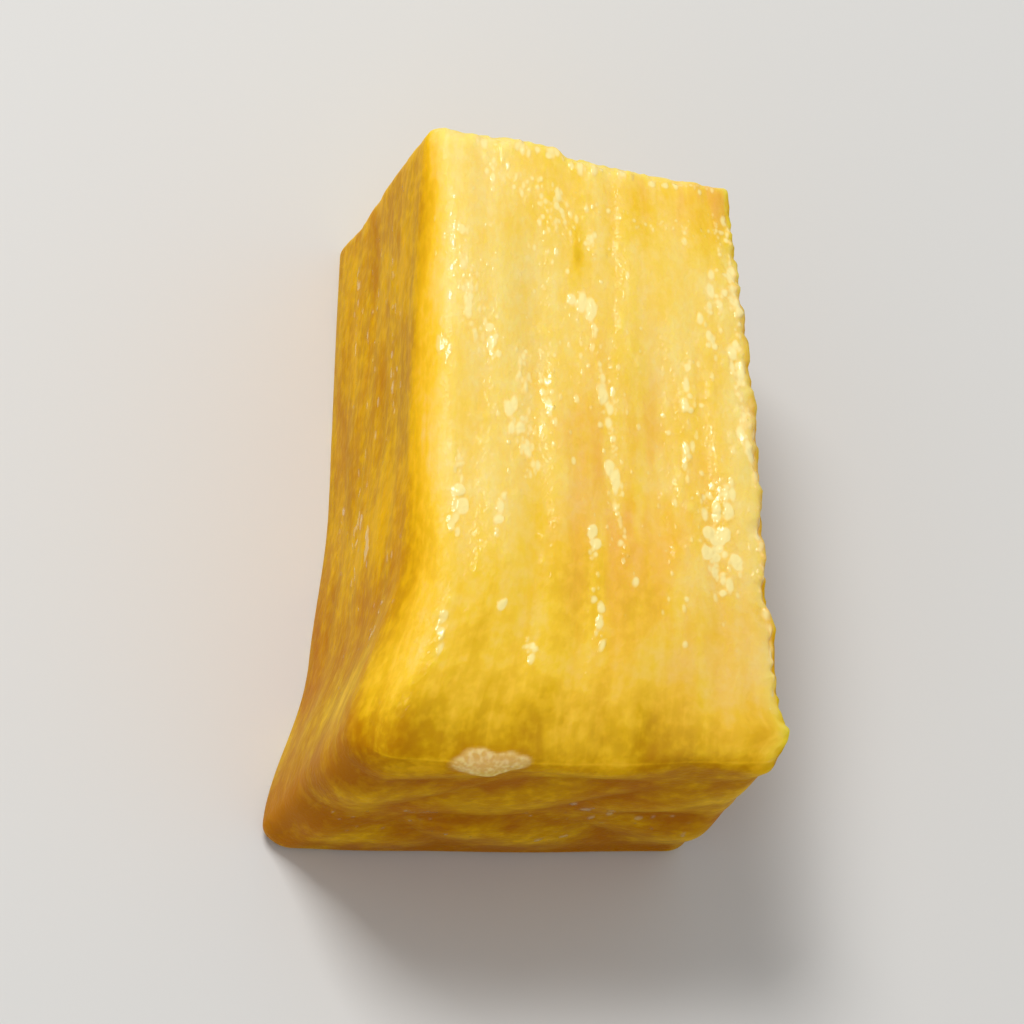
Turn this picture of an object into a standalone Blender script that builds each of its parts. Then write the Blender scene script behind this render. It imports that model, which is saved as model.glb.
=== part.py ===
"""One wet chunk of fresh pineapple flesh, cut from a peeled and cored slice.

The chunk lies on one face of the slice, with the other face up. +X runs across the fibres, +Y runs along
them from the trimmed outer end to the core end, and +Z is up. The origin is the middle of the base.
"""

import math

import bmesh
import bpy
import numpy as np

MM = 0.001

# Driving sizes. The length is the flesh between core and skin, and the thickness is that of the slice.
LENGTH = 38.5 * MM
THICKNESS = 19.5 * MM
MEAN_WIDTH = 20.8 * MM

# The wedge shape: how much further out each side stands at the outer end than at the core end, and the
# flares where the knife ran out of true. Places along the chunk go from -1, outer end, to 1, core end.
LEFT_TAPER = 3.2 * MM
RIGHT_TAPER = 1.4 * MM
LEFT_FLARE = 2.5 * MM
RIGHT_FLARE = 0.5 * MM
LEFT_FLARE_SPAN = (-0.36, -0.95)
RIGHT_FLARE_SPAN = (-0.42, -0.62)

# Both ends are cut askew, and neither side is quite upright.
CORE_END_SKEW = 1.0 * MM
CORE_END_HOLLOW = 0.25 * MM
OUTER_END_SKEW = 0.85 * MM
OUTER_END_LEAN = 1.1 * MM
OUTER_END_BULGE = 0.1 * MM
OUTER_END_TRIM = 0.3 * MM
LEFT_LEAN = 0.4 * MM
LEFT_FOOT = 0.8 * MM
LEFT_FOOT_SPAN = (0.15, -0.45)
RIGHT_LEAN = 0.6 * MM

# The top falls away softly to the outer end, where it rolls over to a crisp edge, and a little at the
# far right corner.
OUTER_END_DROP = 0.9 * MM
OUTER_DROP_SPAN = (-0.35, -1.0)
OUTER_END_ROLL = 0.9 * MM
OUTER_ROLL_SPAN = (-0.68, -1.0)
CORE_CORNER_DROP = 0.5 * MM
CORE_CORNER_SPAN = (0.45, 1.0)

# How far each edge is rounded, for the signs of the two sides that meet there: x, y, z.
# Left is -x, right is +x, outer is -y, core is +y, base is -z and top is +z.
EDGE_RADII = {
    (-1, 0, 1): 2.4 * MM,
    (1, 0, 1): 0.65 * MM,
    (0, -1, 1): 0.9 * MM,
    (0, 1, 1): 0.6 * MM,
    (-1, 0, -1): 0.9 * MM,
    (1, 0, -1): 0.9 * MM,
    (0, -1, -1): 1.3 * MM,
    (0, 1, -1): 0.8 * MM,
    (-1, -1, 0): 3.0 * MM,
    (1, -1, 0): 1.1 * MM,
    (-1, 1, 0): 0.9 * MM,
    (1, 1, 0): 0.7 * MM,
}
EDGE_REACH = 2.4 * MM

# The top's left edge grows softer to the outer end: by how much, and where that begins and how far it runs.
SOFT_EDGE = (-1, 0, 1)
SOFT_EDGE_GROWTH = 2.2 * MM
SOFT_EDGE_START = -0.25
SOFT_EDGE_RUN = 0.6

# Furrows between bundles of fibres, on the top and on both long sides: the place across the face
# from -1 to 1, the width in the same units, and the depth.
TOP_FURROWS = (
    (-0.66, 0.060, 0.10 * MM),
    (-0.33, 0.090, 0.20 * MM),
    (-0.08, 0.050, 0.10 * MM),
    (0.15, 0.050, 0.14 * MM),
    (0.38, 0.095, 0.17 * MM),
    (0.66, 0.060, 0.14 * MM),
    (0.83, 0.040, 0.08 * MM),
)
SIDE_FURROWS = (
    (-0.55, 0.080, 0.08 * MM),
    (-0.18, 0.100, 0.16 * MM),
    (0.12, 0.070, 0.08 * MM),
    (0.44, 0.090, 0.14 * MM),
    (0.68, 0.060, 0.06 * MM),
)

# A furrow sways by this share of the face, and its depth by this share of itself. The two sides' furrows
# are apart by a shift along the chunk, and they lose most of their depth in the flare of the outer end.
FURROW_SWAY = 0.035
FURROW_FADE = 0.35
SIDE_FURROW_SHIFT = 0.8
SIDE_FURROW_LOSS = 0.7
SIDE_LOSS_SPAN = (-0.20, -0.70)

# Long, low waves all over, as soft fruit has under a knife: the height, the radians per metre along
# x, y and z, and the phase.
WAVES = (
    (0.10 * MM, (420.0, 170.0, 300.0), 0.6),
    (0.07 * MM, (-550.0, 310.0, 500.0), 2.1),
    (0.04 * MM, (1150.0, 420.0, -600.0), 4.0),
)

# Round lobes where the knife went through the fruitlets under the skin, on the outer end.
LOBE_HEIGHT = 0.55 * MM
LOBE_PITCH_X = 8.6 * MM
LOBE_PITCH_Z = 7.4 * MM
LOBE_ROW_OFFSET = 0.35
LOBE_MEAN = 0.4

# Small accidents of the cut, each on an edge of the top and fading out below it: a step in the core
# end's edge, nubs on the right edge (place, length and height), a flap and a lost corner. The spans are
# shares of the length from the middle, where those of each end set in.
ACCIDENT_DEPTH = 3.0 * MM
CORE_END_SPAN = (0.30, 0.45)
OUTER_END_SPAN = (-0.42, -0.47)
RIGHT_EDGE_X = 8.5 * MM
NOTCH_X = -1.4 * MM
NOTCH_STEP = 0.55 * MM
NOTCH_RUN = 1.1 * MM
NUBS = (
    (9.4 * MM, 0.7 * MM, 0.25 * MM),
    (-16.4 * MM, 0.9 * MM, 0.9 * MM),
)
FLAP_X = -6.2 * MM
FLAP_Z = THICKNESS - 2.5 * MM
FLAP_HALF_WIDTH = 1.9 * MM
FLAP_HALF_HEIGHT = 0.75 * MM
FLAP_HEIGHT = 0.4 * MM
CORNER_CUT = 0.9 * MM
CORNER_CUT_ALONG = 0.54 * MM
CORNER_CUT_REACH = 3.2 * MM

# The relief stops short of the base, which stays flat.
BASE_MARGIN = 2.5 * MM

# Grid cells across X, Y and Z: fine across the fibres and coarse along them.
CELLS = (34, 20, 20)
EDGE_CROWDING = 0.45

FLESH_COLOUR = (0.89, 0.57, 0.10, 1.0)


def smooth_step(value):
    """0 below 0, 1 above 1, and an S curve between."""
    t = np.clip(value, 0.0, 1.0)
    return t * t * (3.0 - 2.0 * t)


def hump(value, centre, width):
    """A bell curve of height 1 over value."""
    return np.exp(-(((value - centre) / width) ** 2))


def cut_places(half_size, count):
    """Where the planes cut one axis: even steps mixed with a sine, which crowds them at the edges."""
    for i in range(1, count):
        even = 2.0 * i / count - 1.0
        yield half_size * ((1.0 - EDGE_CROWDING) * even + EDGE_CROWDING * math.sin(even * math.pi / 2.0))


def sliced_block(name):
    """A cube primitive at the straight block's size, sliced into a grid by planes square to each axis."""
    size = (MEAN_WIDTH, LENGTH, THICKNESS)
    block = bmesh.new()
    bmesh.ops.create_cube(block, size=1.0)
    bmesh.ops.scale(block, vec=size, verts=block.verts)
    for axis, count in enumerate(CELLS):
        normal = [0.0, 0.0, 0.0]
        normal[axis] = 1.0
        for place in cut_places(size[axis] / 2.0, count):
            bmesh.ops.bisect_plane(
                block,
                geom=block.verts[:] + block.edges[:] + block.faces[:],
                plane_co=[place * n for n in normal],
                plane_no=normal,
            )
    mesh = bpy.data.meshes.new(name)
    block.to_mesh(mesh)
    block.free()
    return mesh


def edge_radius(points, half):
    """The rounding at each point: the mean of the twelve edges' radii, each weighed by its nearness."""
    total = np.zeros(len(points))
    weights = np.zeros(len(points))
    softer = SOFT_EDGE_GROWTH * smooth_step((SOFT_EDGE_START - points[:, 1] / half[1]) / SOFT_EDGE_RUN)
    for signs, radius in EDGE_RADII.items():
        if signs == SOFT_EDGE:
            radius = radius + softer
        gaps = [half[i] - points[:, i] * s for i, s in enumerate(signs) if s]
        weight = np.exp(-np.hypot(*gaps) / EDGE_REACH) + 1e-9
        total += weight * radius
        weights += weight
    return total / weights


def round_edges(points):
    """The straight block with rounded edges: a point goes to the core's nearest point plus the radius."""
    half = np.array((MEAN_WIDTH, LENGTH, THICKNESS)) / 2.0
    radius = edge_radius(points, half)[:, None]
    core = np.clip(points, radius - half, half - radius)
    outward = points - core
    outward /= np.linalg.norm(outward, axis=1, keepdims=True)
    return core + outward * radius, outward


def sway(along, phase):
    """How far a furrow wanders across the face on its way along the chunk."""
    return FURROW_SWAY * (np.sin(2.3 * along + phase) + 0.4 * np.sin(6.1 * along + 2.0 * phase))


def furrow_depth(across, along, furrows):
    """The depth of the furrows at a place across the face, where each fades in and out along the chunk."""
    depth = np.zeros(len(across))
    for number, (centre, width, deepest) in enumerate(furrows):
        phase = 1.7 * number
        strength = 1.0 - FURROW_FADE + FURROW_FADE * np.sin(3.1 * along + phase)
        depth += deepest * strength * hump(across, centre + sway(along, phase), width)
    return depth


def undulation(points):
    """The sum of the long waves: height times the sine of a plane wave through the points."""
    height = np.zeros(len(points))
    for amplitude, turning, phase in WAVES:
        height += amplitude * np.sin(points @ np.array(turning) + phase)
    return height


def lobes(x, z):
    """Rounded fruitlets on a brick pattern: a product of cosines, every other row moved half a pitch."""
    row = z / LOBE_PITCH_Z
    column = x / LOBE_PITCH_X + 0.25 * np.cos(math.pi * row)
    return np.abs(np.cos(math.pi * column)) * np.abs(np.cos(math.pi * (row - LOBE_ROW_OFFSET)))


def ramp(along, span):
    """0 before the span's first place and 1 after its second, smooth between."""
    return smooth_step((along - span[0]) / (span[1] - span[0]))


def relief(straight, outward):
    """How far each point stands out from the plain rounded block, along its outward direction."""
    across = straight[:, 0] / (MEAN_WIDTH / 2.0)
    along = straight[:, 1] / (LENGTH / 2.0)
    up = straight[:, 2] / (THICKNESS / 2.0)
    top = np.clip(outward[:, 2], 0.0, 1.0) ** 2
    sides = outward[:, 0] ** 2
    outer_end = np.clip(-outward[:, 1], 0.0, 1.0) ** 2
    height = undulation(straight)
    height -= top * furrow_depth(across, along, TOP_FURROWS)
    sides *= 1.0 - SIDE_FURROW_LOSS * ramp(along, SIDE_LOSS_SPAN)
    height -= sides * furrow_depth(up, along + SIDE_FURROW_SHIFT * np.sign(across), SIDE_FURROWS)
    height += outer_end * LOBE_HEIGHT * (lobes(straight[:, 0], straight[:, 2]) - LOBE_MEAN)
    return height


def spread(straight):
    """The straight block made a tapered, flared and leaning one, standing on z = 0."""
    along = straight[:, 1] / (LENGTH / 2.0)
    across = straight[:, 0] / (MEAN_WIDTH / 2.0)
    low = 0.5 - straight[:, 2] / THICKNESS
    left = MEAN_WIDTH / 2.0 - LEFT_TAPER / 2.0 * along + LEFT_FLARE * ramp(along, LEFT_FLARE_SPAN)
    left += (LEFT_LEAN + LEFT_FOOT * ramp(along, LEFT_FOOT_SPAN)) * low
    right = MEAN_WIDTH / 2.0 - RIGHT_TAPER / 2.0 * along + RIGHT_FLARE * ramp(along, RIGHT_FLARE_SPAN)
    right -= RIGHT_LEAN * low
    x = (right - left) / 2.0 + across * (right + left) / 2.0
    middle = 1.0 - across**2
    core_end = CORE_END_SKEW * across + CORE_END_HOLLOW * middle
    outer_end = OUTER_END_SKEW * across - OUTER_END_BULGE * middle + OUTER_END_LEAN * low
    outer_end += OUTER_END_TRIM * (1.0 - low)
    y = straight[:, 1] - core_end * smooth_step(along) + outer_end * smooth_step(-along)
    drop = OUTER_END_DROP * ramp(along, OUTER_DROP_SPAN)
    rolled = np.clip((OUTER_ROLL_SPAN[0] - along) / (OUTER_ROLL_SPAN[0] - OUTER_ROLL_SPAN[1]), 0.0, 1.0)
    drop += OUTER_END_ROLL * rolled**2
    drop += CORE_CORNER_DROP * ramp(along, CORE_CORNER_SPAN) * smooth_step(across)
    z = straight[:, 2] + THICKNESS / 2.0 - drop * (1.0 - low)
    return np.stack((x, y, z), axis=1)


def accidents(points):
    """The step in the core end's top edge, the nubs on the right edge, the flap and the lost corner."""
    x, y, z = points.T.copy()
    near_top = smooth_step((z - THICKNESS + ACCIDENT_DEPTH) / (0.7 * ACCIDENT_DEPTH))
    core_end = ramp(y / LENGTH, CORE_END_SPAN)
    outer_end = ramp(y / LENGTH, OUTER_END_SPAN)
    right_edge = smooth_step((x - RIGHT_EDGE_X) / ACCIDENT_DEPTH + 0.5)
    y -= NOTCH_STEP * near_top * core_end * smooth_step((x - NOTCH_X) / NOTCH_RUN)
    for nub_y, nub_length, nub_height in NUBS:
        x += nub_height * near_top * right_edge * hump(y, nub_y, nub_length)
    y -= FLAP_HEIGHT * outer_end * hump(x, FLAP_X, FLAP_HALF_WIDTH) * hump(z, FLAP_Z, FLAP_HALF_HEIGHT)
    corner = np.hypot(x - x.max(), y - y.min())
    lost = near_top * smooth_step(1.0 - corner / CORNER_CUT_REACH)
    return np.stack((x - CORNER_CUT * lost, y + CORNER_CUT_ALONG * lost, z), axis=1)


def shape_chunk(mesh):
    """Moves the sliced block's vertices to the chunk's surface, and centres its box on the base."""
    points = np.empty(len(mesh.vertices) * 3)
    mesh.vertices.foreach_get("co", points)
    straight, outward = round_edges(points.reshape(-1, 3))
    base = smooth_step((straight[:, 2] + THICKNESS / 2.0) / BASE_MARGIN)
    raised = straight + outward * (relief(straight, outward) * base)[:, None]
    solid = accidents(spread(raised))
    middle = (solid.min(axis=0) + solid.max(axis=0)) / 2.0
    solid -= (middle[0], middle[1], solid[:, 2].min())
    mesh.vertices.foreach_set("co", solid.ravel())
    mesh.update()


def flesh_material():
    """Juicy yellow flesh: soft scattering under a wet skin of juice."""
    material = bpy.data.materials.new("pineapple_flesh")
    material.use_nodes = True
    shader = material.node_tree.nodes["Principled BSDF"]
    shader.inputs["Base Color"].default_value = FLESH_COLOUR
    shader.inputs["Roughness"].default_value = 0.38
    shader.inputs["Metallic"].default_value = 0.0
    shader.inputs["Subsurface Weight"].default_value = 0.6
    shader.inputs["Subsurface Radius"].default_value = (1.0, 0.55, 0.12)
    shader.inputs["Subsurface Scale"].default_value = 3.0 * MM
    shader.inputs["Coat Weight"].default_value = 0.6
    material.diffuse_color = FLESH_COLOUR
    return material


def clear_scene():
    for item in list(bpy.data.objects):
        bpy.data.objects.remove(item)


def main():
    clear_scene()
    parts = bpy.data.collections.new("pineapple_chunk")
    bpy.context.scene.collection.children.link(parts)
    mesh = sliced_block("pineapple_chunk")
    shape_chunk(mesh)
    mesh.materials.append(flesh_material())
    mesh.shade_smooth()
    chunk = bpy.data.objects.new("pineapple_chunk", mesh)
    parts.objects.link(chunk)


main()
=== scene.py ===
import itertools
import math

import bpy
import numpy as np
from mathutils import Matrix, Vector


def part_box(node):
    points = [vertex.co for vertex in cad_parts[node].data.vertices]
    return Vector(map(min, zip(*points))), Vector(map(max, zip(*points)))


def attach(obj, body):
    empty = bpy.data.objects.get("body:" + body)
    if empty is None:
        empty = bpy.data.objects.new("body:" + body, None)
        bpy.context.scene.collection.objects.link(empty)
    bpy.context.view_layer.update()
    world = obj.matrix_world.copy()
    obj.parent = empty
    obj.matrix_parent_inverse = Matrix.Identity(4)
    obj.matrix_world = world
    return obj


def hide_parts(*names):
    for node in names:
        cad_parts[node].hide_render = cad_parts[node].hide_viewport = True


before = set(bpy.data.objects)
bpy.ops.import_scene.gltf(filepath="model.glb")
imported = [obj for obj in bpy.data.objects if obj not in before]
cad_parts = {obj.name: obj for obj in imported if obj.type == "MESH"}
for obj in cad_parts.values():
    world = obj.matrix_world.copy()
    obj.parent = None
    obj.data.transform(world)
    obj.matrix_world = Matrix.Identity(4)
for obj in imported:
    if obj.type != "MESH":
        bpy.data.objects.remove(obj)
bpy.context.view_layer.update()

MM = 0.001


# The chunk of flesh
#
# Fresh pineapple flesh, one block cut with a knife out of a peeled and cored slice. Its fibres run from the
# trimmed outer end to the core end, and the knife left the faces ribbed by bundles of fibres and beaded
# by the juice cells between them.

LENGTH = 38.5 * MM
THICKNESS = 19.5 * MM
MEAN_WIDTH = 20.8 * MM
HALF = np.array((MEAN_WIDTH, LENGTH, THICKNESS)) / 2.0
EDGE_RADII = {
    (-1, 0, 1): 2.4 * MM,
    (1, 0, 1): 0.65 * MM,
    (0, -1, 1): 0.9 * MM,
    (0, 1, 1): 0.6 * MM,
    (-1, 0, -1): 0.9 * MM,
    (1, 0, -1): 0.9 * MM,
    (0, -1, -1): 1.3 * MM,
    (0, 1, -1): 0.8 * MM,
    (-1, -1, 0): 3.0 * MM,
    (1, -1, 0): 1.1 * MM,
    (-1, 1, 0): 0.9 * MM,
    (1, 1, 0): 0.7 * MM,
}
LEFT_EDGE_SOFTER = 2.2 * MM
EDGE_REACH = 2.4 * MM
LEFT_TAPER, RIGHT_TAPER = 3.2 * MM, 1.4 * MM
LEFT_FLARE, RIGHT_FLARE = 2.5 * MM, 0.5 * MM
LEFT_LEAN, RIGHT_LEAN, LEFT_FOOT = 0.4 * MM, 0.6 * MM, 0.8 * MM
CORE_END_SKEW, CORE_END_HOLLOW = 1.0 * MM, 0.25 * MM
OUTER_END_SKEW, OUTER_END_BULGE = 0.85 * MM, 0.1 * MM
OUTER_END_LEAN, OUTER_END_TRIM = 1.1 * MM, 0.3 * MM
OUTER_END_DROP, OUTER_END_ROLL, CORE_CORNER_DROP = 0.9 * MM, 0.9 * MM, 0.5 * MM
NOTCH_X, NOTCH_RUN, NOTCH_STEP = -1.4 * MM, 1.1 * MM, 0.55 * MM
NUBS = (
    # place along the right edge, height and half length
    (9.4 * MM, 0.25 * MM, 0.7 * MM),
    (-16.4 * MM, 0.90 * MM, 0.9 * MM),
)
FLAP_X, FLAP_Z, FLAP_HEIGHT = -6.2 * MM, 17.0 * MM, 0.40 * MM
FLAP_HALF_WIDTH, FLAP_HALF_HEIGHT = 1.9 * MM, 0.75 * MM
CORNER_CUT, CORNER_CUT_REACH = 0.9 * MM, 3.2 * MM
LOBE_PITCH_ACROSS, LOBE_PITCH_UP, LOBE_HEIGHT = 8.6 * MM, 7.4 * MM, 0.55 * MM
CRISP_EDGE = 0.55 * MM
FLAKE_X, FLAKE_HALF_WIDTH, FLAKE_HALF_HEIGHT, FLAKE_RISE = -3.8 * MM, 2.0 * MM, 0.95 * MM, 0.16 * MM
BASE_MARGIN = 2.5 * MM
FLESH_CELLS = (176, 224, 64)


def smooth_step(value):
    """0 below 0, 1 above 1, and the cubic 3t^2 - 2t^3 between."""
    t = np.clip(value, 0.0, 1.0)
    return t * t * (3.0 - 2.0 * t)


def hump(value, centre, width):
    """A bell curve of height 1: e to the minus square of the distance from the centre, in widths."""
    return np.exp(-(((value - centre) / width) ** 2))


def noise(places, seed):
    """Smooth noise from -1 to 1: random heights on a unit lattice, mixed over each cell's eight corners."""
    heights = np.random.default_rng(seed).uniform(-1.0, 1.0, (64, 64, 64))
    cell = np.floor(places).astype(int)
    blend = smooth_step(places - cell)
    total = np.zeros(len(places))
    for corner in itertools.product((0, 1), repeat=3):
        weight = np.prod(np.where(corner, blend, 1.0 - blend), axis=1)
        total += weight * heights[tuple(((cell + corner) % 64).T)]
    return total


def fibre_noise(straight, across_mm, along_mm, seed):
    """The noise stretched along the fibres: one cell is across_mm wide and thick, and along_mm long."""
    return noise(straight / (np.array((across_mm, along_mm, across_mm)) * MM) + 100.0, seed)


def rounded_block(points):
    """The box with its edges rounded: the nearest point of an inner box, plus a radius outwards from it.
    The radius at a point is the mean of the twelve edges' radii, each weighed by its nearness. That of the
    top's left edge grows to the outer end."""
    total, weights = np.zeros(len(points)), np.zeros(len(points))
    softer = LEFT_EDGE_SOFTER * smooth_step((-0.25 - points[:, 1] / HALF[1]) / 0.6)
    for signs, radius in EDGE_RADII.items():
        if signs == (-1, 0, 1):
            radius = radius + softer
        gaps = [HALF[i] - points[:, i] * s for i, s in enumerate(signs) if s]
        weight = np.exp(-np.hypot(*gaps) / EDGE_REACH) + 1e-9
        total += weight * radius
        weights += weight
    radius = (total / weights)[:, None]
    core = np.clip(points, radius - HALF, HALF - radius)
    outward = points - core
    outward /= np.linalg.norm(outward, axis=1, keepdims=True)
    return core + outward * radius, outward


def furrow_depth(across, along, furrows):
    """A sum of bell-shaped grooves that sway across the face and fade in and out along the chunk."""
    depth = np.zeros(len(across))
    for number, (centre, width, deepest) in enumerate(furrows):
        phase = 1.7 * number
        sway = 0.035 * (np.sin(2.3 * along + phase) + 0.4 * np.sin(6.1 * along + 2.0 * phase))
        strength = 0.65 + 0.35 * np.sin(3.1 * along + phase)
        depth += deepest * strength * hump(across, centre + sway, width)
    return depth


def fruitlets(straight):
    """Rounded lobes on a brick pattern, where the knife went through the fruitlets under the skin: a
    product of two cosines, every other row moved half a pitch."""
    row = straight[:, 2] / LOBE_PITCH_UP
    column = straight[:, 0] / LOBE_PITCH_ACROSS + 0.25 * np.cos(math.pi * row)
    return np.abs(np.cos(math.pi * column)) * np.abs(np.cos(math.pi * (row - 0.35)))


def broad_relief(straight, outward):
    """The relief that the solid has too: long waves, furrows on the long faces, lobes on the outer end."""
    across, along, up = (straight / HALF).T
    height = 0.10 * MM * np.sin(straight @ (420.0, 170.0, 300.0) + 0.6)
    height += 0.07 * MM * np.sin(straight @ (-550.0, 310.0, 500.0) + 2.1)
    height += 0.04 * MM * np.sin(straight @ (1150.0, 420.0, -600.0) + 4.0)
    top_furrows = (
        (-0.66, 0.060, 0.10 * MM),
        (-0.33, 0.090, 0.20 * MM),
        (-0.08, 0.050, 0.10 * MM),
        (0.15, 0.050, 0.14 * MM),
        (0.38, 0.095, 0.17 * MM),
        (0.66, 0.060, 0.14 * MM),
        (0.83, 0.040, 0.08 * MM),
    )
    side_furrows = (
        (-0.55, 0.080, 0.08 * MM),
        (-0.18, 0.100, 0.16 * MM),
        (0.12, 0.070, 0.08 * MM),
        (0.44, 0.090, 0.14 * MM),
        (0.68, 0.060, 0.06 * MM),
    )
    height -= np.clip(outward[:, 2], 0.0, 1.0) ** 2 * furrow_depth(across, along, top_furrows)
    sides = outward[:, 0] ** 2 * (1.0 - 0.7 * smooth_step((-0.20 - along) / 0.50))
    height -= sides * furrow_depth(up, along + 0.8 * np.sign(across), side_furrows)
    return height + LOBE_HEIGHT * np.clip(-outward[:, 1], 0.0, 1.0) ** 2 * (fruitlets(straight) - 0.4)


def fine_relief(straight, outward):
    """Fibre bundles about 1 mm wide, single fibres under half that, rows of burst juice cells in patches
    along some of them, and crumbs on the two crisp edges of the top. The knife left the rest smoother."""
    across, along, up = (straight / HALF).T
    ribs = 0.050 * MM * fibre_noise(straight, 1.9, 9.0, 1)
    ribs += 0.016 * MM * fibre_noise(straight, 0.60, 4.0, 2)
    patches = smooth_step(1.8 * fibre_noise(straight, 2.4, 6.0, 3) + 0.20)
    cells = smooth_step(1.8 * fibre_noise(straight, 0.55, 0.80, 4) - 0.20)
    soft_edge = smooth_step((-0.83 - across) / 0.10) * smooth_step((up - 0.45) / 0.25)
    band = (1.0 - soft_edge) * smooth_step((along + 0.98) / 0.25)
    band *= 1.0 - 0.7 * smooth_step((-0.90 - across) / 0.08) * smooth_step((-0.15 - along) / 0.45)
    height = ribs * (0.25 + 0.75 * band) + 0.08 * MM * cells * patches * band
    height += 0.07 * MM * fibre_noise(straight, 3.0, 4.0, 9) * smooth_step((-0.35 - along) / 0.3)
    right_edge = np.exp(-np.hypot(HALF[0] - straight[:, 0], HALF[2] - straight[:, 2]) / CRISP_EDGE)
    core_edge = np.exp(-np.hypot(HALF[1] - straight[:, 1], HALF[2] - straight[:, 2]) / CRISP_EDGE)
    crumbs = fibre_noise(straight, 0.8, 0.9, 5) + 0.8 * fibre_noise(straight, 0.40, 0.45, 6)
    return height + MM * crumbs * np.maximum(0.32 * right_edge, 0.25 * core_edge)


def ramp(along, first, second):
    """0 before the first place along the chunk and 1 after the second, smooth between."""
    return smooth_step((along - first) / (second - first))


def knife_cut(straight):
    """The straight block made the wedge that the knife left: each side's distance from the middle grows
    to the outer end and flares there, the ends are askew, and the top drops to the outer end and rolls
    over."""
    across, along, up = (straight / HALF).T
    low = 0.5 - up / 2.0
    left = (MEAN_WIDTH - LEFT_TAPER * along) / 2.0 + LEFT_FLARE * ramp(along, -0.36, -0.95)
    left += (LEFT_LEAN + LEFT_FOOT * ramp(along, 0.15, -0.45)) * low
    right = (MEAN_WIDTH - RIGHT_TAPER * along) / 2.0 + RIGHT_FLARE * ramp(along, -0.42, -0.62)
    right -= RIGHT_LEAN * low
    x = (right - left) / 2.0 + across * (right + left) / 2.0
    middle = 1.0 - across**2
    core_end = CORE_END_SKEW * across + CORE_END_HOLLOW * middle
    outer_end = OUTER_END_SKEW * across - OUTER_END_BULGE * middle
    outer_end += OUTER_END_LEAN * low + OUTER_END_TRIM * (1.0 - low)
    y = straight[:, 1] - core_end * smooth_step(along) + outer_end * smooth_step(-along)
    drop = OUTER_END_DROP * ramp(along, -0.35, -1.0)
    drop += OUTER_END_ROLL * np.clip((-0.68 - along) / 0.32, 0.0, 1.0) ** 2
    drop += CORE_CORNER_DROP * ramp(along, 0.45, 1.0) * smooth_step(across)
    z = straight[:, 2] + THICKNESS / 2.0 - drop * (1.0 - low)
    return np.stack((x, y, z), axis=1)


def accidents(points):
    """A step in the core end's top edge, nubs on the right edge, a flap on the outer end, a lost corner."""
    x, y, z = points.T.copy()
    near_top = smooth_step((z - THICKNESS + 3.0 * MM) / (2.1 * MM))
    core_end = smooth_step((y / LENGTH - 0.30) / 0.15)
    outer_end = smooth_step((-y / LENGTH - 0.42) / 0.05)
    right_edge = smooth_step((x - 8.5 * MM) / (3.0 * MM) + 0.5)
    y -= NOTCH_STEP * near_top * core_end * smooth_step((x - NOTCH_X) / NOTCH_RUN)
    for place, rise, half_length in NUBS:
        x += rise * near_top * right_edge * hump(y, place, half_length)
    y -= FLAP_HEIGHT * outer_end * hump(x, FLAP_X, FLAP_HALF_WIDTH) * hump(z, FLAP_Z, FLAP_HALF_HEIGHT)
    corner = np.hypot(x - x.max(), y - y.min())
    lost = CORNER_CUT * near_top * smooth_step(1.0 - corner / CORNER_CUT_REACH)
    return np.stack((x - lost, y + 0.6 * lost, z), axis=1)


def below_outer_edge(places):
    """Distance on the straight box below the outer end's top edge, and less than 0 above it, on the top."""
    return HALF[2] - places[:, 2] - places[:, 1] - HALF[1]


def flake(places):
    """1 on the dry, pale brown flake that the trimming knife left on the outer end's top edge, else 0."""
    wide = (places[:, 0] - FLAKE_X) / FLAKE_HALF_WIDTH
    high = below_outer_edge(places) / FLAKE_HALF_HEIGHT
    ragged = 0.22 * fibre_noise(places, 0.7, 0.7, 10)
    return smooth_step((1.15 - np.hypot(wide, high) + ragged) / 0.30)


def chunk_surface(places):
    """The chunk's surface for places on the straight box: rounded, raised by both reliefs and the flake,
    then cut askew."""
    straight, outward = rounded_block(places)
    above_base = smooth_step((straight[:, 2] + THICKNESS / 2.0) / BASE_MARGIN)
    height = (broad_relief(straight, outward) + fine_relief(straight, outward)) * above_base
    height += FLAKE_RISE * flake(places)
    return accidents(knife_cut(straight + outward * height[:, None]))


def closed_grid(cells):
    """The sides and top of a box as grids of two indices each, sharing their edge points, and the ring
    that closes the base. Returns the points' three indices, the quads and the ring."""
    sides = []
    for axis, at in ((2, cells[2]), (0, 0), (0, cells[0]), (1, 0), (1, cells[1])):
        first, second = [i for i in range(3) if i != axis]
        index = np.zeros((cells[first] + 1, cells[second] + 1, 3), int)
        index[..., axis] = at
        index[..., first] = np.arange(cells[first] + 1)[:, None]
        index[..., second] = np.arange(cells[second] + 1)[None, :]
        faces_out = (at > 0) != (axis == 1)
        sides.append(index if faces_out else index[::-1])
    strides = ((cells[1] + 1) * (cells[2] + 1), cells[2] + 1, 1)
    codes = [side @ strides for side in sides]
    unique = np.unique(np.concatenate([code.ravel() for code in codes]))
    quads = []
    for code in codes:
        at = np.searchsorted(unique, code)
        quads.append(np.stack((at[:-1, :-1], at[1:, :-1], at[1:, 1:], at[:-1, 1:]), axis=-1).reshape(-1, 4))
    left, core = np.arange(cells[1]), np.arange(cells[0])
    ring = np.concatenate((
        left * strides[1],
        core * strides[0] + cells[1] * strides[1],
        cells[0] * strides[0] + left[::-1] * strides[1] + strides[1],
        core[::-1] * strides[0] + strides[0],
    ))
    first, second, third = unique // strides[0], unique // strides[1] % (cells[1] + 1), unique % strides[1]
    return np.stack((first, second, third), axis=1), np.concatenate(quads), np.searchsorted(unique, ring)


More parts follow.
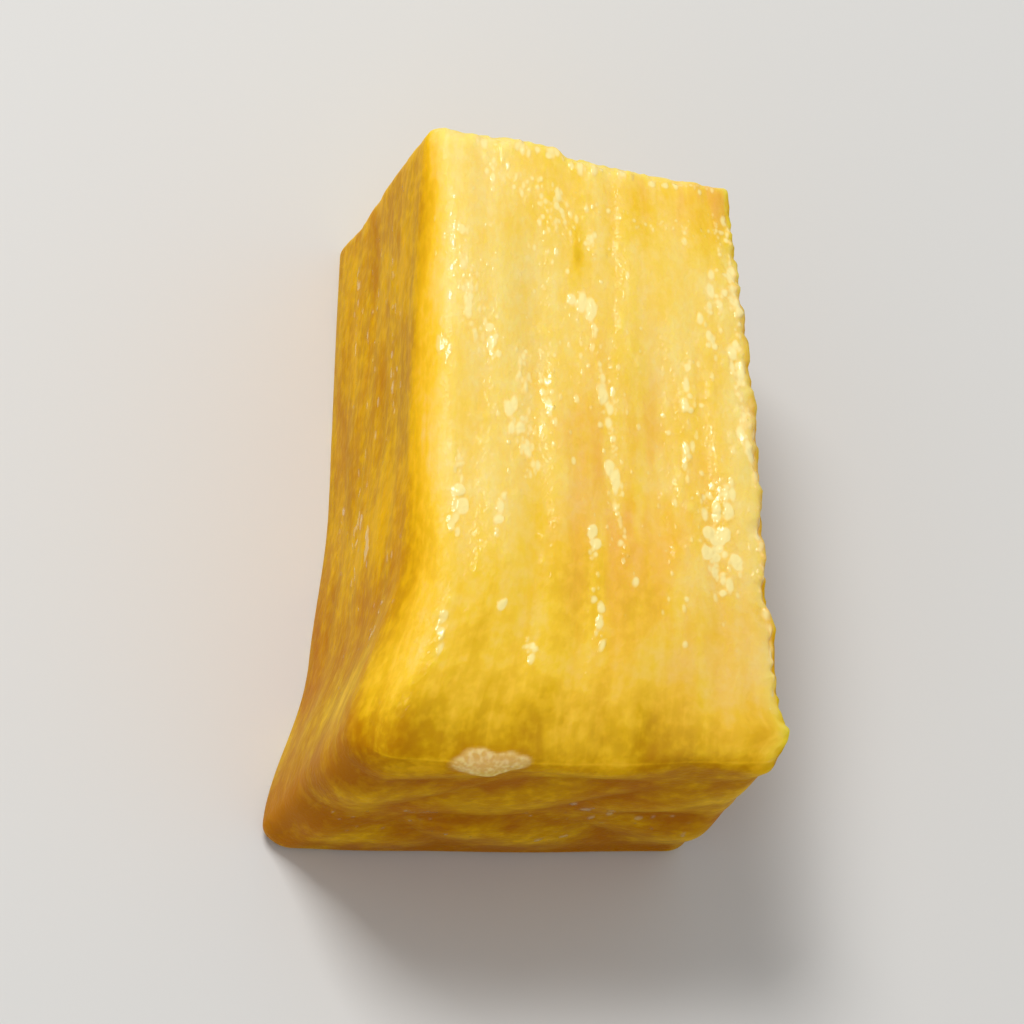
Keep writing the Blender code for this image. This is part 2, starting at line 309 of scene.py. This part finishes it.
def box_places(indices, cells):
    """Grid indices as places on the straight box: even steps mixed with a sine, which crowds the edges."""
    even = 2.0 * indices / np.array(cells) - 1.0
    return HALF * (0.7 * even + 0.3 * np.sin(even * math.pi / 2.0))


indices, quads, ring = closed_grid(FLESH_CELLS)
places = box_places(indices, FLESH_CELLS)
surface = chunk_surface(places)
BEAD_ROOM = 0.16 * MM
cad_low, cad_high = (np.array(corner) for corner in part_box("pineapple_chunk"))
surface_low, surface_size = surface.min(axis=0), np.ptp(surface, axis=0)
fit = (cad_high - cad_low - (0.0, 0.0, BEAD_ROOM)) / surface_size


def in_the_box(points):
    """Moves and scales points, by under one part in fifty, so that the fine surface fills the solid's box
    up to the room that the beads of juice take on top."""
    return cad_low + (points - surface_low) * fit


flesh_mesh = bpy.data.meshes.new("pineapple_flesh")
flesh_mesh.from_pydata(in_the_box(surface).tolist(), [], quads.tolist() + [ring.tolist()])
flesh_mesh.shade_smooth()
flesh = bpy.data.objects.new("pineapple_flesh", flesh_mesh)
bpy.context.scene.collection.objects.link(flesh)


def ripeness_and_painted_light(places):
    """How golden the flesh is, 0 for pale strands near the core and 1 for amber under the skin: it grows
    to the outer end, with a golden middle and a golden spot on the top, and it is paler at the top's right
    side. It is deeper gold on the long sides and on the outer end, partly painted shade, and painted shade
    makes it deeper gold towards the bottom of the faces below the top, on the top's lower left and on its
    far right corner. The paler flesh along the top's left side is partly painted highlight, and that along
    its right, far and outer edges is painted highlight."""
    across, along, up = (places / HALF).T
    outward = rounded_block(places)[1]
    top = np.clip(outward[:, 2], 0.0, 1.0) ** 2
    gold = 0.17 + 0.14 * smooth_step((-0.05 - along) / 0.55) + 0.42 * smooth_step((-0.66 - along) / 0.34)
    gold -= 0.23 * top * hump(across, 0.85, 0.35) * hump(along, -0.80, 0.28)
    gold -= 0.16 * hump(across, 1.0, 0.14) * hump(along, -0.97, 0.12)
    # Painted shade: deeper gold on the top's lower left.
    gold += 0.13 * top * hump(across, -0.62, 0.40) * hump(along, -0.76, 0.22)
    gold += 0.14 * top * hump(across, 0.05, 0.40) * hump(along, -0.15, 0.55)
    # Painted shade: deeper gold on the top's far right corner.
    gold += 0.26 * top * smooth_step((across - 0.15) / 0.55) * smooth_step((along - 0.60) / 0.30)
    gold += 0.34 * top * hump(across, -0.05, 0.05) * hump(along, 0.66, 0.09)
    # Paler along the top's left side, partly painted highlight.
    gold -= 0.08 * top * hump(across, -0.74, 0.24) * smooth_step((along + 0.5) / 0.4)
    # Painted highlight: paler flesh along the top's right, far and outer edges.
    rim = np.minimum(np.hypot(1.0 - across, 0.9 - 0.9 * up), np.hypot(1.9 - 1.9 * along, 0.9 - 0.9 * up))
    outer_rim = np.hypot(HALF[1] + places[:, 1], HALF[2] - places[:, 2])
    gold -= 0.15 * np.exp(-rim / 0.05) + 0.12 * hump(outer_rim, 0.0, 0.12 * MM)
    # Deeper gold on the long sides, less towards the outer end, partly painted shade.
    gold += 0.40 * outward[:, 0] ** 2 * (1.0 - 0.35 * smooth_step((-0.45 - along) / 0.5))
    gold += 0.08 * np.clip(outward[:, 1], 0.0, 1.0) ** 2
    # Deeper gold on the outer end, partly painted shade, less on the fruitlets' lobes.
    gold += (0.14 - 0.22 * fruitlets(places)) * np.clip(-outward[:, 1], 0.0, 1.0) ** 2
    # Painted shade: deeper gold towards the bottom of the faces below the top.
    return gold + 0.06 * (1.0 - top) * (1.0 - up)


def tan(places):
    """How much of the flesh is clear tan strands rather than yellow ones: the middle of the top, its far
    right corner, its right edge and parts of both sides."""
    across, along, up = (places / HALF).T
    outward = rounded_block(places)[1]
    top = np.clip(outward[:, 2], 0.0, 1.0) ** 2
    share = 1.0 * top * hump(across, 0.18, 0.45) * hump(along, -0.18, 0.50)
    share += 1.2 * top * smooth_step((across - 0.1) / 0.6) * smooth_step((along - 0.70) / 0.25)
    share += 0.4 * top * hump(across, 0.70, 0.40) * hump(along, -0.70, 0.30)
    share += 0.8 * np.exp(-np.hypot(1.0 - across, 0.9 - 0.9 * up) / 0.05)
    return share + 0.25 * outward[:, 0] ** 2 + 0.4 * np.clip(outward[:, 1], 0.0, 1.0) ** 2


def shade(places):
    """How much painted shade warms and darkens the colour, against the top: all of it on the long sides and
    on the outer end, but less at the flared foot, none on the top, and a little on the core end."""
    outward = rounded_block(places)[1]
    foot = smooth_step((-0.35 - places[:, 1] / HALF[1]) / 0.4) * (places[:, 0] < 0.0)
    warm = outward[:, 0] ** 2 * (1.0 - 0.6 * foot) + 0.8 * np.clip(-outward[:, 1], 0.0, 1.0) ** 2
    return np.clip(warm + 0.4 * np.clip(outward[:, 1], 0.0, 1.0) ** 2, 0.0, 1.0)


def wetness(places):
    """How much juice wets the face: all of it on the top, where it lies, and less on the faces below and
    along the top's soft left edge, where it runs off."""
    lying = np.clip(rounded_block(places)[1][:, 2], 0.0, 1.0) ** 6
    return 0.15 + 0.85 * lying * (1.0 - 0.8 * hump(places[:, 0] / HALF[0], -0.90, 0.12))


for name, kind, values in (
    ("fibre_mm", "FLOAT_VECTOR", places / MM),
    ("ripeness_and_painted_light", "FLOAT", ripeness_and_painted_light(places)),
    ("tan", "FLOAT", tan(places)),
    ("shade", "FLOAT", shade(places)),
    ("flake", "FLOAT", flake(places)),
    ("wetness", "FLOAT", wetness(places)),
):
    attribute = flesh_mesh.attributes.new(name, kind, "POINT")
    attribute.data.foreach_set("vector" if kind == "FLOAT_VECTOR" else "value", values.ravel())


def colour(hex_code):
    """An sRGB hex colour as linear red, green, blue and 1."""
    values = [int(hex_code[i:i + 2], 16) / 255.0 for i in (1, 3, 5)]
    return [v / 12.92 if v <= 0.04045 else ((v + 0.055) / 1.055) ** 2.4 for v in values] + [1.0]


def add(material, kind, settings=None, **inputs):
    """Adds a shader node with its settings. An input named in0, in1 and so on goes by its number, any other
    by its name with _ for a space, and each takes a value or another node's socket."""
    tree = material.node_tree
    made = tree.nodes.new("ShaderNode" + kind)
    for name, value in (settings or {}).items():
        setattr(made, name, value)
    for name, value in inputs.items():
        key = int(name[2:]) if name[:2] == "in" and name[2:].isdigit() else name.replace("_", " ")
        socket = made.inputs[key]
        if isinstance(value, bpy.types.NodeSocket):
            tree.links.new(value, socket)
        else:
            socket.default_value = value
    return made


# Wet pineapple flesh: soft cells full of juice, so light goes a few millimetres in and comes back golden,
# under a thin film of juice that is smooth enough to glint. The strands are paler than the juice between.
flesh_material = bpy.data.materials.new("wet_pineapple_flesh")
flesh_material.use_nodes = True
shader = flesh_material.node_tree.nodes["Principled BSDF"]
along_fibres = add(flesh_material, "Attribute", {"attribute_name": "fibre_mm"}).outputs["Vector"]

# Each pattern is noise with cells of one width across the fibres and another length along them, both in mm.
# It is eased between two limits and turned to a change of ripeness, of colour or of height. The fibres'
# threads and the pores are drawn about twice as coarse as they are, so that they show.
patterns = {}
for name, width, length, detail, low, high, least, most in (
    ("zones", 3.4, 12.0, 2.0, 0.34, 0.66, -0.05, 0.06),
    ("clouds", 3.0, 5.0, 2.0, 0.32, 0.68, -0.07, 0.07),
    ("bundles", 1.5, 7.0, 2.0, 0.38, 0.68, 0.03, -0.05),
    ("threads", 0.45, 5.0, 3.0, 0.46, 0.72, 0.015, -0.035),
    ("cells", 0.60, 0.85, 2.0, 0.35, 0.75, 0.06, -0.07),
    ("tans", 1.7, 8.0, 2.0, 0.38, 0.64, 0.06, 0.46),
    ("pores", 0.30, 0.40, 1.0, 0.35, 0.70, 0.0, 1.0),
    ("film", 1.6, 3.5, 2.0, 0.35, 0.62, 0.15, 0.42),
):
    mapping = add(
        flesh_material, "Mapping", Vector=along_fibres,
        Scale=(1.0 / width, 1.0 / length, 1.0 / width), Location=(7.0 * width, 0.0, 11.0 * width),
    )
    speckle = add(
        flesh_material, "TexNoise",
        Vector=mapping.outputs["Vector"], Scale=1.0, Detail=detail, Roughness=0.55,
    )
    eased = add(
        flesh_material, "MapRange", {"interpolation_type": "SMOOTHSTEP"},
        Value=speckle.outputs["Fac"], in1=low, in2=high, in3=least, in4=most,
    )
    patterns[name] = eased.outputs["Result"]

# The tone holds the ripeness together with the painted shade and painted highlight that its attribute
# carries.
tone = add(flesh_material, "Attribute", {"attribute_name": "ripeness_and_painted_light"}).outputs["Fac"]
for name in ("zones", "clouds", "bundles", "threads", "cells"):
    tone = add(flesh_material, "Math", {"operation": "ADD"}, in0=tone, in1=patterns[name]).outputs[0]
golds = add(flesh_material, "ValToRGB", in0=tone)
golds.color_ramp.elements[0].color = colour("#FFDF8A")
golds.color_ramp.elements[1].color = colour("#B27600")
for stop, hex_code in (
    (0.24, "#FFD566"),
    (0.42, "#F9CE3E"),
    (0.60, "#E6BA1E"),
    (0.74, "#CFA00B"),
    (0.87, "#C08B04"),
):
    golds.color_ramp.elements.new(stop).color = colour(hex_code)
clear = add(flesh_material, "Attribute", {"attribute_name": "tan"}).outputs["Fac"]
tan_share = add(flesh_material, "Math", {"operation": "MULTIPLY"}, in0=clear, in1=patterns["tans"])
strand_colour = add(
    flesh_material, "Mix", {"data_type": "RGBA"},
    in0=tan_share.outputs[0], in6=golds.outputs["Color"], in7=colour("#EAA250"),
)
# Painted shade: on the faces below the top the colour turns warmer, more saturated and darker, by the shade
# attribute.
shaded = add(flesh_material, "Attribute", {"attribute_name": "shade"}).outputs["Fac"]
warmer = add(
    flesh_material, "HueSaturation",
    Fac=shaded, Color=strand_colour.outputs[2], Hue=0.484, Saturation=1.05, Value=0.95,
)
dry_flake = add(flesh_material, "Attribute", {"attribute_name": "flake"}).outputs["Fac"]
flake_colour = add(
    flesh_material, "Mix", {"data_type": "RGBA"},
    in0=patterns["pores"], in6=colour("#DDB264"), in7=colour("#ECCF90"),
)
flesh_colour = add(
    flesh_material, "Mix", {"data_type": "RGBA"},
    in0=dry_flake, in6=warmer.outputs["Color"], in7=flake_colour.outputs[2],
)
bumps = add(flesh_material, "Bump", Strength=0.4, Distance=0.05 * MM, Height=patterns["pores"])
wet = add(flesh_material, "Attribute", {"attribute_name": "wetness"}).outputs["Fac"]
film = add(flesh_material, "Math", {"operation": "MULTIPLY"}, in0=wet, in1=patterns["film"])

for name, value in {
    "Base Color": flesh_colour.outputs[2],
    "Roughness": 0.50,
    "IOR": 1.38,
    "Specular IOR Level": 0.05,
    "Subsurface Weight": 0.75,
    "Subsurface Radius": (0.90, 0.80, 0.14),
    "Subsurface Scale": 3.0 * MM,
    "Coat Weight": film.outputs[0],
    "Coat Roughness": 0.10,
    "Coat IOR": 1.34,
    "Normal": bumps.outputs["Normal"],
    "Coat Normal": bumps.outputs["Normal"],
}.items():
    if isinstance(value, bpy.types.NodeSocket):
        flesh_material.node_tree.links.new(value, shader.inputs[name])
    else:
        shader.inputs[name].default_value = value
flesh_mesh.materials.append(flesh_material)
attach(flesh, "root")
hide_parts("pineapple_chunk")


# The juice on the cut faces
#
# Juice that ran out of the cut cells. It stands in flat beads that run together into short broken streaks
# along the fibres of the top, in fine drops at its far end, in a beaded line along its crisp right edge,
# and in fewer, finer beads on the faces below.

FILM_STEP = 0.080 * MM
SLOPE_STEP = 0.1 * MM
SUNK = 0.12 * MM
WET_ABOVE = -0.003 * MM
DRY = -0.05 * MM
BEAD_RISE = 0.09
TOP_STREAKS = (
    # across and along of the start and of the end, spread across in mm, beads, half width in mm
    (-0.80, 0.62, -0.74, 0.46, 0.55, 20, 0.15),
    (-0.74, 0.47, -0.72, 0.41, 0.25, 7, 0.24),
    (-0.66, 0.40, -0.56, 0.30, 0.70, 20, 0.19),
    (-0.92, 0.31, -0.80, 0.25, 0.40, 11, 0.18),
    (-0.82, 0.70, -0.78, 0.66, 0.40, 7, 0.17),
    (-0.08, 0.50, 0.04, 0.46, 0.45, 9, 0.24),
    (0.02, 0.44, 0.10, 0.24, 0.40, 17, 0.14),
    (0.08, 0.24, 0.12, 0.12, 0.22, 9, 0.24),
    (0.12, 0.10, 0.17, -0.02, 0.30, 11, 0.15),
    (0.14, -0.05, 0.15, -0.13, 0.30, 8, 0.29),
    (0.15, -0.14, 0.18, -0.32, 0.28, 14, 0.15),
    (-0.46, 0.12, -0.38, -0.02, 0.95, 22, 0.19),
    (-0.38, 0.00, -0.32, -0.10, 0.50, 11, 0.18),
    (-0.28, 0.32, -0.24, 0.14, 0.80, 17, 0.14),
    (0.60, 0.34, 0.58, 0.00, 0.45, 17, 0.17),
    (-0.74, -0.02, -0.76, -0.16, 0.24, 14, 0.16),
    (-0.75, -0.16, -0.78, -0.30, 0.30, 12, 0.27),
    (-0.50, -0.17, -0.54, -0.30, 0.16, 11, 0.18),
    (-0.36, 0.02, -0.33, -0.08, 0.30, 7, 0.17),
    (0.00, -0.26, 0.02, -0.38, 0.28, 9, 0.24),
    (0.02, -0.38, 0.05, -0.60, 0.22, 14, 0.16),
    (0.72, -0.10, 0.75, -0.24, 0.80, 20, 0.19),
    (0.71, -0.24, 0.74, -0.38, 0.75, 20, 0.26),
    (0.73, -0.38, 0.75, -0.46, 0.90, 9, 0.17),
    (0.82, -0.06, 0.84, -0.20, 0.40, 11, 0.17),
    (-0.48, -0.50, -0.46, -0.54, 0.10, 3, 0.18),
    (-0.78, -0.54, -0.72, -0.66, 0.14, 8, 0.17),
    (-0.30, -0.62, -0.22, -0.70, 0.50, 10, 0.21),
    (0.06, -0.60, 0.10, -0.66, 0.20, 3, 0.17),
    (0.22, -0.38, 0.24, -0.42, 0.20, 3, 0.17),
    (-0.55, 0.88, -0.10, 0.72, 1.80, 70, 0.12),
    (-0.78, 0.60, -0.62, 0.30, 1.20, 40, 0.11),
    (-0.40, 0.30, -0.30, 0.00, 1.60, 50, 0.11),
    (0.12, 0.30, 0.15, -0.25, 0.90, 40, 0.11),
    (0.60, 0.40, 0.72, -0.45, 1.10, 60, 0.11),
    (-0.18, 0.84, -0.12, 0.74, 0.60, 13, 0.15),
    (0.04, 0.72, 0.08, 0.56, 0.50, 13, 0.13),
    (-0.70, 0.965, 0.92, 0.975, 0.20, 60, 0.17),
    (0.86, 0.92, 0.92, 0.50, 0.55, 39, 0.15),
    (0.82, 0.62, 0.78, 0.36, 0.80, 28, 0.16),
    (0.93, 0.88, 0.95, 0.00, 0.35, 84, 0.16),
    (0.90, 0.40, 0.92, 0.02, 0.40, 31, 0.18),
    (0.96, 0.02, 0.97, -0.94, 0.20, 84, 0.13),
    (-0.70, 0.80, 0.80, -0.50, 7.00, 238, 0.11),
    (-0.60, 0.86, 0.80, 0.80, 1.40, 84, 0.11),
)


# For each face, the axis along its streaks' first number, the axis along their second, and its streaks.
# On the long sides the first number goes up or down and the second runs along the fibres.
JUICY_FACES = (
    ((1, 0, 0), (0, 1, 0), TOP_STREAKS),
    ((0, 0, 1), (0, 1, 0), (
        (0.30, 0.70, 0.35, 0.20, 0.80, 14, 0.14),
        (-0.20, 0.30, -0.15, -0.30, 0.90, 18, 0.14),
        (0.55, -0.30, 0.45, -0.60, 0.60, 12, 0.13),
        (-0.50, 0.85, -0.45, 0.50, 0.60, 12, 0.13),
        (0.10, -0.05, 0.12, -0.20, 0.25, 7, 0.21),
        (-0.55, 0.10, -0.60, -0.10, 0.30, 8, 0.17),
        (0.00, 0.90, 0.00, -0.70, 6.00, 70, 0.10),
    )),
    ((0, 0, -1), (0, 1, 0), (
        (-0.62, 0.80, -0.55, 0.20, 0.90, 26, 0.16),
        (-0.25, 0.40, -0.22, 0.10, 0.35, 14, 0.20),
        (-0.70, -0.10, -0.66, -0.55, 0.60, 20, 0.17),
        (0.10, 0.70, 0.15, 0.35, 0.50, 14, 0.15),
        (-0.10, -0.20, -0.05, -0.60, 0.40, 16, 0.18),
        (0.40, 0.20, 0.42, -0.30, 0.70, 16, 0.13),
        (0.00, 0.90, 0.00, -0.90, 6.00, 60, 0.10),
    )),
    ((0, 0, 1), (1, 0, 0), (
        (0.60, -0.60, 0.55, 0.50, 1.20, 16, 0.14),
        (0.30, -0.50, -0.30, -0.30, 1.50, 14, 0.15),
        (0.20, 0.30, -0.40, 0.50, 1.60, 14, 0.13),
        (0.00, -0.80, 0.00, 0.80, 5.00, 40, 0.10),
    )),
    ((1, 0, 0), (0, 0, 1), (
        (-0.60, 0.10, -0.40, -0.10, 1.20, 9, 0.14),
        (0.30, 0.10, 0.60, -0.20, 1.40, 9, 0.15),
        (0.10, -0.30, 0.30, -0.60, 1.00, 6, 0.13),
        (-0.80, -0.20, 0.80, -0.20, 5.00, 30, 0.10),
    )),
)


def juice_beads(streaks, half, draw):
    """Centres on a face, half widths, half lengths and heights of the beads, all in metres: drawn evenly
    along each streak and in a bell curve across it, with most beads small and a few large."""
    rows = []
    for first_u, first_v, last_u, last_v, spread, count, half_width in streaks:
        step = draw.uniform(0.0, 1.0, count)
        width = half_width * MM * draw.lognormal(-0.15, 0.45, count).clip(0.35, 1.7)
        u = half[0] * (first_u + (last_u - first_u) * step) + draw.normal(0.0, 0.5 * spread * MM, count)
        v = half[1] * (first_v + (last_v - first_v) * step)
        v += draw.normal(0.0, (0.10 + 0.20 * spread) * MM, count)
        length = width * draw.uniform(1.0, 2.3, count)
        rows.append(np.stack((u, v, width, length, width * BEAD_RISE), axis=1))
    return np.concatenate(rows).T


def standing_juice(beads, half_count):
    """Height of the juice over a grid on a face: the highest of the beads' caps there, each its height
    times 1 less the square of the distance in half sizes, with an uneven outline. Elsewhere it is a little
    under 0."""
    u, v, half_width, half_length, height = beads
    reach = int(1.4 * half_length.max() / FILM_STEP) + 1
    window = np.arange(-reach, reach + 1)
    columns = np.rint(u / FILM_STEP).astype(int)[:, None, None] + window[None, :, None]
    rows = np.rint(v / FILM_STEP).astype(int)[:, None, None] + window[None, None, :]
    columns, rows = np.broadcast_arrays(columns, rows)
    squared = ((columns * FILM_STEP - u[:, None, None]) / half_width[:, None, None]) ** 2
    squared = squared + ((rows * FILM_STEP - v[:, None, None]) / half_length[:, None, None]) ** 2
    at = np.stack((columns.ravel() * FILM_STEP, rows.ravel() * FILM_STEP, np.zeros(columns.size)), axis=1)
    wobble = 0.50 * fibre_noise(at, 0.26, 0.42, 11).reshape(squared.shape)
    caps = height[:, None, None] * (1.0 - squared * (1.0 + wobble))
    total = np.full((2 * half_count[0] + 1, 2 * half_count[1] + 1), DRY)
    inside = (np.abs(columns) <= half_count[0]) & (np.abs(rows) <= half_count[1])
    np.maximum.at(total, (columns[inside] + half_count[0], rows[inside] + half_count[1]), caps[inside])
    return np.minimum(total, BEAD_ROOM)


def film_shell(heights, half_count, u_axis, v_axis):
    """A closed shell for each patch of juice: the grid's cells where a corner stands above the flesh, the
    same cells a little under the flesh facing down, and walls between their borders. Returns its points,
    its faces, and for each point the place on the straight box and the height above the flesh."""
    shape = heights.shape
    wet = heights > WET_ABOVE
    cells = wet[:-1, :-1] | wet[1:, :-1] | wet[1:, 1:] | wet[:-1, 1:]
    column, row = np.nonzero(cells)
    first = column * shape[1] + row
    corners = np.stack((first, first + shape[1], first + shape[1] + 1, first + 1), axis=1)
    used, tops = np.unique(corners, return_inverse=True)
    tops = tops.reshape(corners.shape)
    count = len(used)
    edges = np.stack((tops, np.roll(tops, -1, axis=1)), axis=-1).reshape(-1, 2)
    lone = ~np.isin(edges[:, 0] * count + edges[:, 1], edges[:, 1] * count + edges[:, 0])
    start, end = edges[lone].T
    walls = np.stack((end, start, start + count, end + count), axis=1)
    faces = np.concatenate((tops, tops[:, ::-1] + count, walls))
    steps = np.stack((used // shape[1] - half_count[0], used % shape[1] - half_count[1]), axis=1)
    steps = steps * FILM_STEP
    face_axis = np.cross(u_axis, v_axis)
    at = steps[:, :1] * u_axis + steps[:, 1:] * v_axis + HALF * face_axis
    middle = in_the_box(chunk_surface(at))
    outward = np.cross(
        in_the_box(chunk_surface(at + SLOPE_STEP * u_axis)) - middle,
        in_the_box(chunk_surface(at + SLOPE_STEP * v_axis)) - middle,
    )
    outward /= np.linalg.norm(outward, axis=1, keepdims=True)
    rise = np.concatenate((heights.ravel()[used], np.full(count, -SUNK)))
    points = np.tile(middle, (2, 1)) + np.tile(outward, (2, 1)) * rise[:, None]
    return points, faces, np.tile(at, (2, 1)), rise


juice_draw = np.random.default_rng(7)
shells = []
for u_axis, v_axis, streaks in JUICY_FACES:
    u_axis, v_axis = np.array(u_axis), np.array(v_axis)
    half = np.abs((HALF @ u_axis, HALF @ v_axis))
    half_count = np.floor(half / FILM_STEP).astype(int)
    heights = standing_juice(juice_beads(streaks, half, juice_draw), half_count)
    shells.append(film_shell(heights, half_count, u_axis, v_axis))
first_points = np.cumsum([0] + [len(shell[0]) for shell in shells])
juice_points = np.concatenate([shell[0] for shell in shells])
juice_faces = np.concatenate([shell[1] + first for shell, first in zip(shells, first_points)])
juice_places = np.concatenate([shell[2] for shell in shells])
juice_rise = np.concatenate([shell[3] for shell in shells])
juice_mesh = bpy.data.meshes.new("juice_beads")
juice_mesh.from_pydata(juice_points.tolist(), [], juice_faces.tolist())
juice_mesh.shade_smooth()
juice = bpy.data.objects.new("juice_beads", juice_mesh)
bpy.context.scene.collection.objects.link(juice)

# Clear juice lets light through to the flesh under it, so it throws no shadow on the flesh.
juice.visible_shadow = False
juice.visible_diffuse = False
for name, kind, values in (
    ("fibre_mm", "FLOAT_VECTOR", juice_places / MM),
    ("ripeness_and_painted_light", "FLOAT", ripeness_and_painted_light(juice_places)),
    ("tan", "FLOAT", tan(juice_places)),
    ("shade", "FLOAT", shade(juice_places)),
    ("wetness", "FLOAT", 0.15 + 0.85 * wetness(juice_places)),
    ("depth_mm", "FLOAT", juice_rise / MM),
):
    attribute = juice_mesh.attributes.new(name, kind, "POINT")
    attribute.data.foreach_set("vector" if kind == "FLOAT_VECTOR" else "value", values.ravel())

# Pineapple juice: clear, pale yellow water with sugar and fine pulp in it. At the rim of a bead the flesh's
# colour shows through, and where the bead is deeper its colour is mixed to pale cream, a painted glint. The
# painted glint is strongest on the beads that lie on the top and fainter on the faces below. The juice is
# smooth, so it glints as well.
juice_material = flesh_material.copy()
juice_material.name = "pineapple_juice"
juice_shader = juice_material.node_tree.nodes["Principled BSDF"]
under_juice = juice_shader.inputs["Base Color"].links[0].from_socket
depth = add(juice_material, "Attribute", {"attribute_name": "depth_mm"}).outputs["Fac"]
# Painted glint: pale cream mixed in by the bead's depth, times how much the bead lies on the top.
painted_glint = add(
    juice_material, "MapRange", {"interpolation_type": "SMOOTHSTEP"},
    Value=depth, in1=0.0, in2=0.020, in3=0.0, in4=0.75,
)
lying = add(juice_material, "Attribute", {"attribute_name": "wetness"}).outputs["Fac"]
painted_glint_share = add(juice_material, "Math", {"operation": "MULTIPLY"}, in0=painted_glint.outputs["Result"], in1=lying)
painted_glint_colour = add(
    juice_material, "Mix", {"data_type": "RGBA"},
    in0=painted_glint_share.outputs[0], in6=under_juice, in7=colour("#FFF0A6"),
)
juice_material.node_tree.links.new(painted_glint_colour.outputs[2], juice_shader.inputs["Base Color"])
juice_material.node_tree.links.remove(juice_shader.inputs["Coat Weight"].links[0])
for name, value in {
    "Roughness": 0.2,
    "IOR": 1.35,
    "Specular IOR Level": 0.5,
    "Subsurface Weight": 0.0,
    "Coat Weight": 0.5,
    "Coat Roughness": 0.06,
    "Coat IOR": 1.35,
}.items():
    juice_shader.inputs[name].default_value = value
juice_mesh.materials.append(juice_material)
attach(juice, "root")


# The floor, the light and the camera
#
# A plain pale floor, a soft light from above and behind with a weak fill, and a long lens at the angle of
# the photograph, close enough for the chunk to fill most of the frame.

floor_mesh = bpy.data.meshes.new("floor")
floor_mesh.from_pydata([(-1.5, -1.5, 0), (1.5, -1.5, 0), (1.5, 1.5, 0), (-1.5, 1.5, 0)], [], [(0, 1, 2, 3)])
floor = bpy.data.objects.new("floor", floor_mesh)
bpy.context.scene.collection.objects.link(floor)
paper = bpy.data.materials.new("matte_white_card")
paper.use_nodes = True
paper.node_tree.nodes["Principled BSDF"].inputs["Base Color"].default_value = colour("#DCDBD8")
paper.node_tree.nodes["Principled BSDF"].inputs["Roughness"].default_value = 0.75
floor_mesh.materials.append(paper)

# The camera looks at the chunk's middle, at azimuth -36, elevation 62.5 and roll 37 degrees. Its own axes
# then point this way.
CENTRE = Vector((0.0, 0.0, 0.009))
RIGHT = Vector((0.9599, -0.0383, 0.2777))
UP = Vector((-0.0696, 0.9271, 0.3685))
BACK = Vector((-0.2714, -0.3736, 0.8870))
DISTANCE, FRAME_WIDTH, SENSOR_WIDTH = 0.6, 0.060, 36.0


def area_light(name, direction, distance, size, power, tint):
    """A square lamp at a distance in one direction from the chunk, turned to face it."""
    lamp = bpy.data.lights.new(name, "AREA")
    lamp.size = size
    lamp.energy = power
    lamp.color = colour(tint)[:3]
    holder = bpy.data.objects.new(name, lamp)
    direction = Vector(direction).normalized()
    holder.location = CENTRE + direction * distance
    holder.rotation_euler = (-direction).to_track_quat("-Z", "Y").to_euler()
    holder.visible_camera = False
    bpy.context.scene.collection.objects.link(holder)


area_light("key", (-0.34, 0.42, 0.84), 0.45, 0.15, 1.30, "#FFFFFF")
area_light("fill", (-0.6, -0.7, 0.5), 0.60, 0.40, 0.20, "#FFFFFF")

world = bpy.data.worlds.new("studio")
world.use_nodes = True
world.node_tree.nodes["Background"].inputs["Color"].default_value = colour("#F4F4F4")
world.node_tree.nodes["Background"].inputs["Strength"].default_value = 0.49
bpy.context.scene.world = world
bpy.context.scene.view_settings.view_transform = "Standard"

camera_data = bpy.data.cameras.new("camera")
camera = bpy.data.objects.new("camera", camera_data)
bpy.context.scene.collection.objects.link(camera)
camera_data.sensor_width = SENSOR_WIDTH
camera_data.lens = SENSOR_WIDTH * DISTANCE / FRAME_WIDTH
camera_data.clip_start, camera_data.clip_end = 0.05, 10.0
turned = Matrix((RIGHT, UP, BACK)).transposed().to_4x4()
camera.matrix_world = Matrix.Translation(CENTRE + BACK * DISTANCE) @ turned
bpy.context.scene.camera = camera
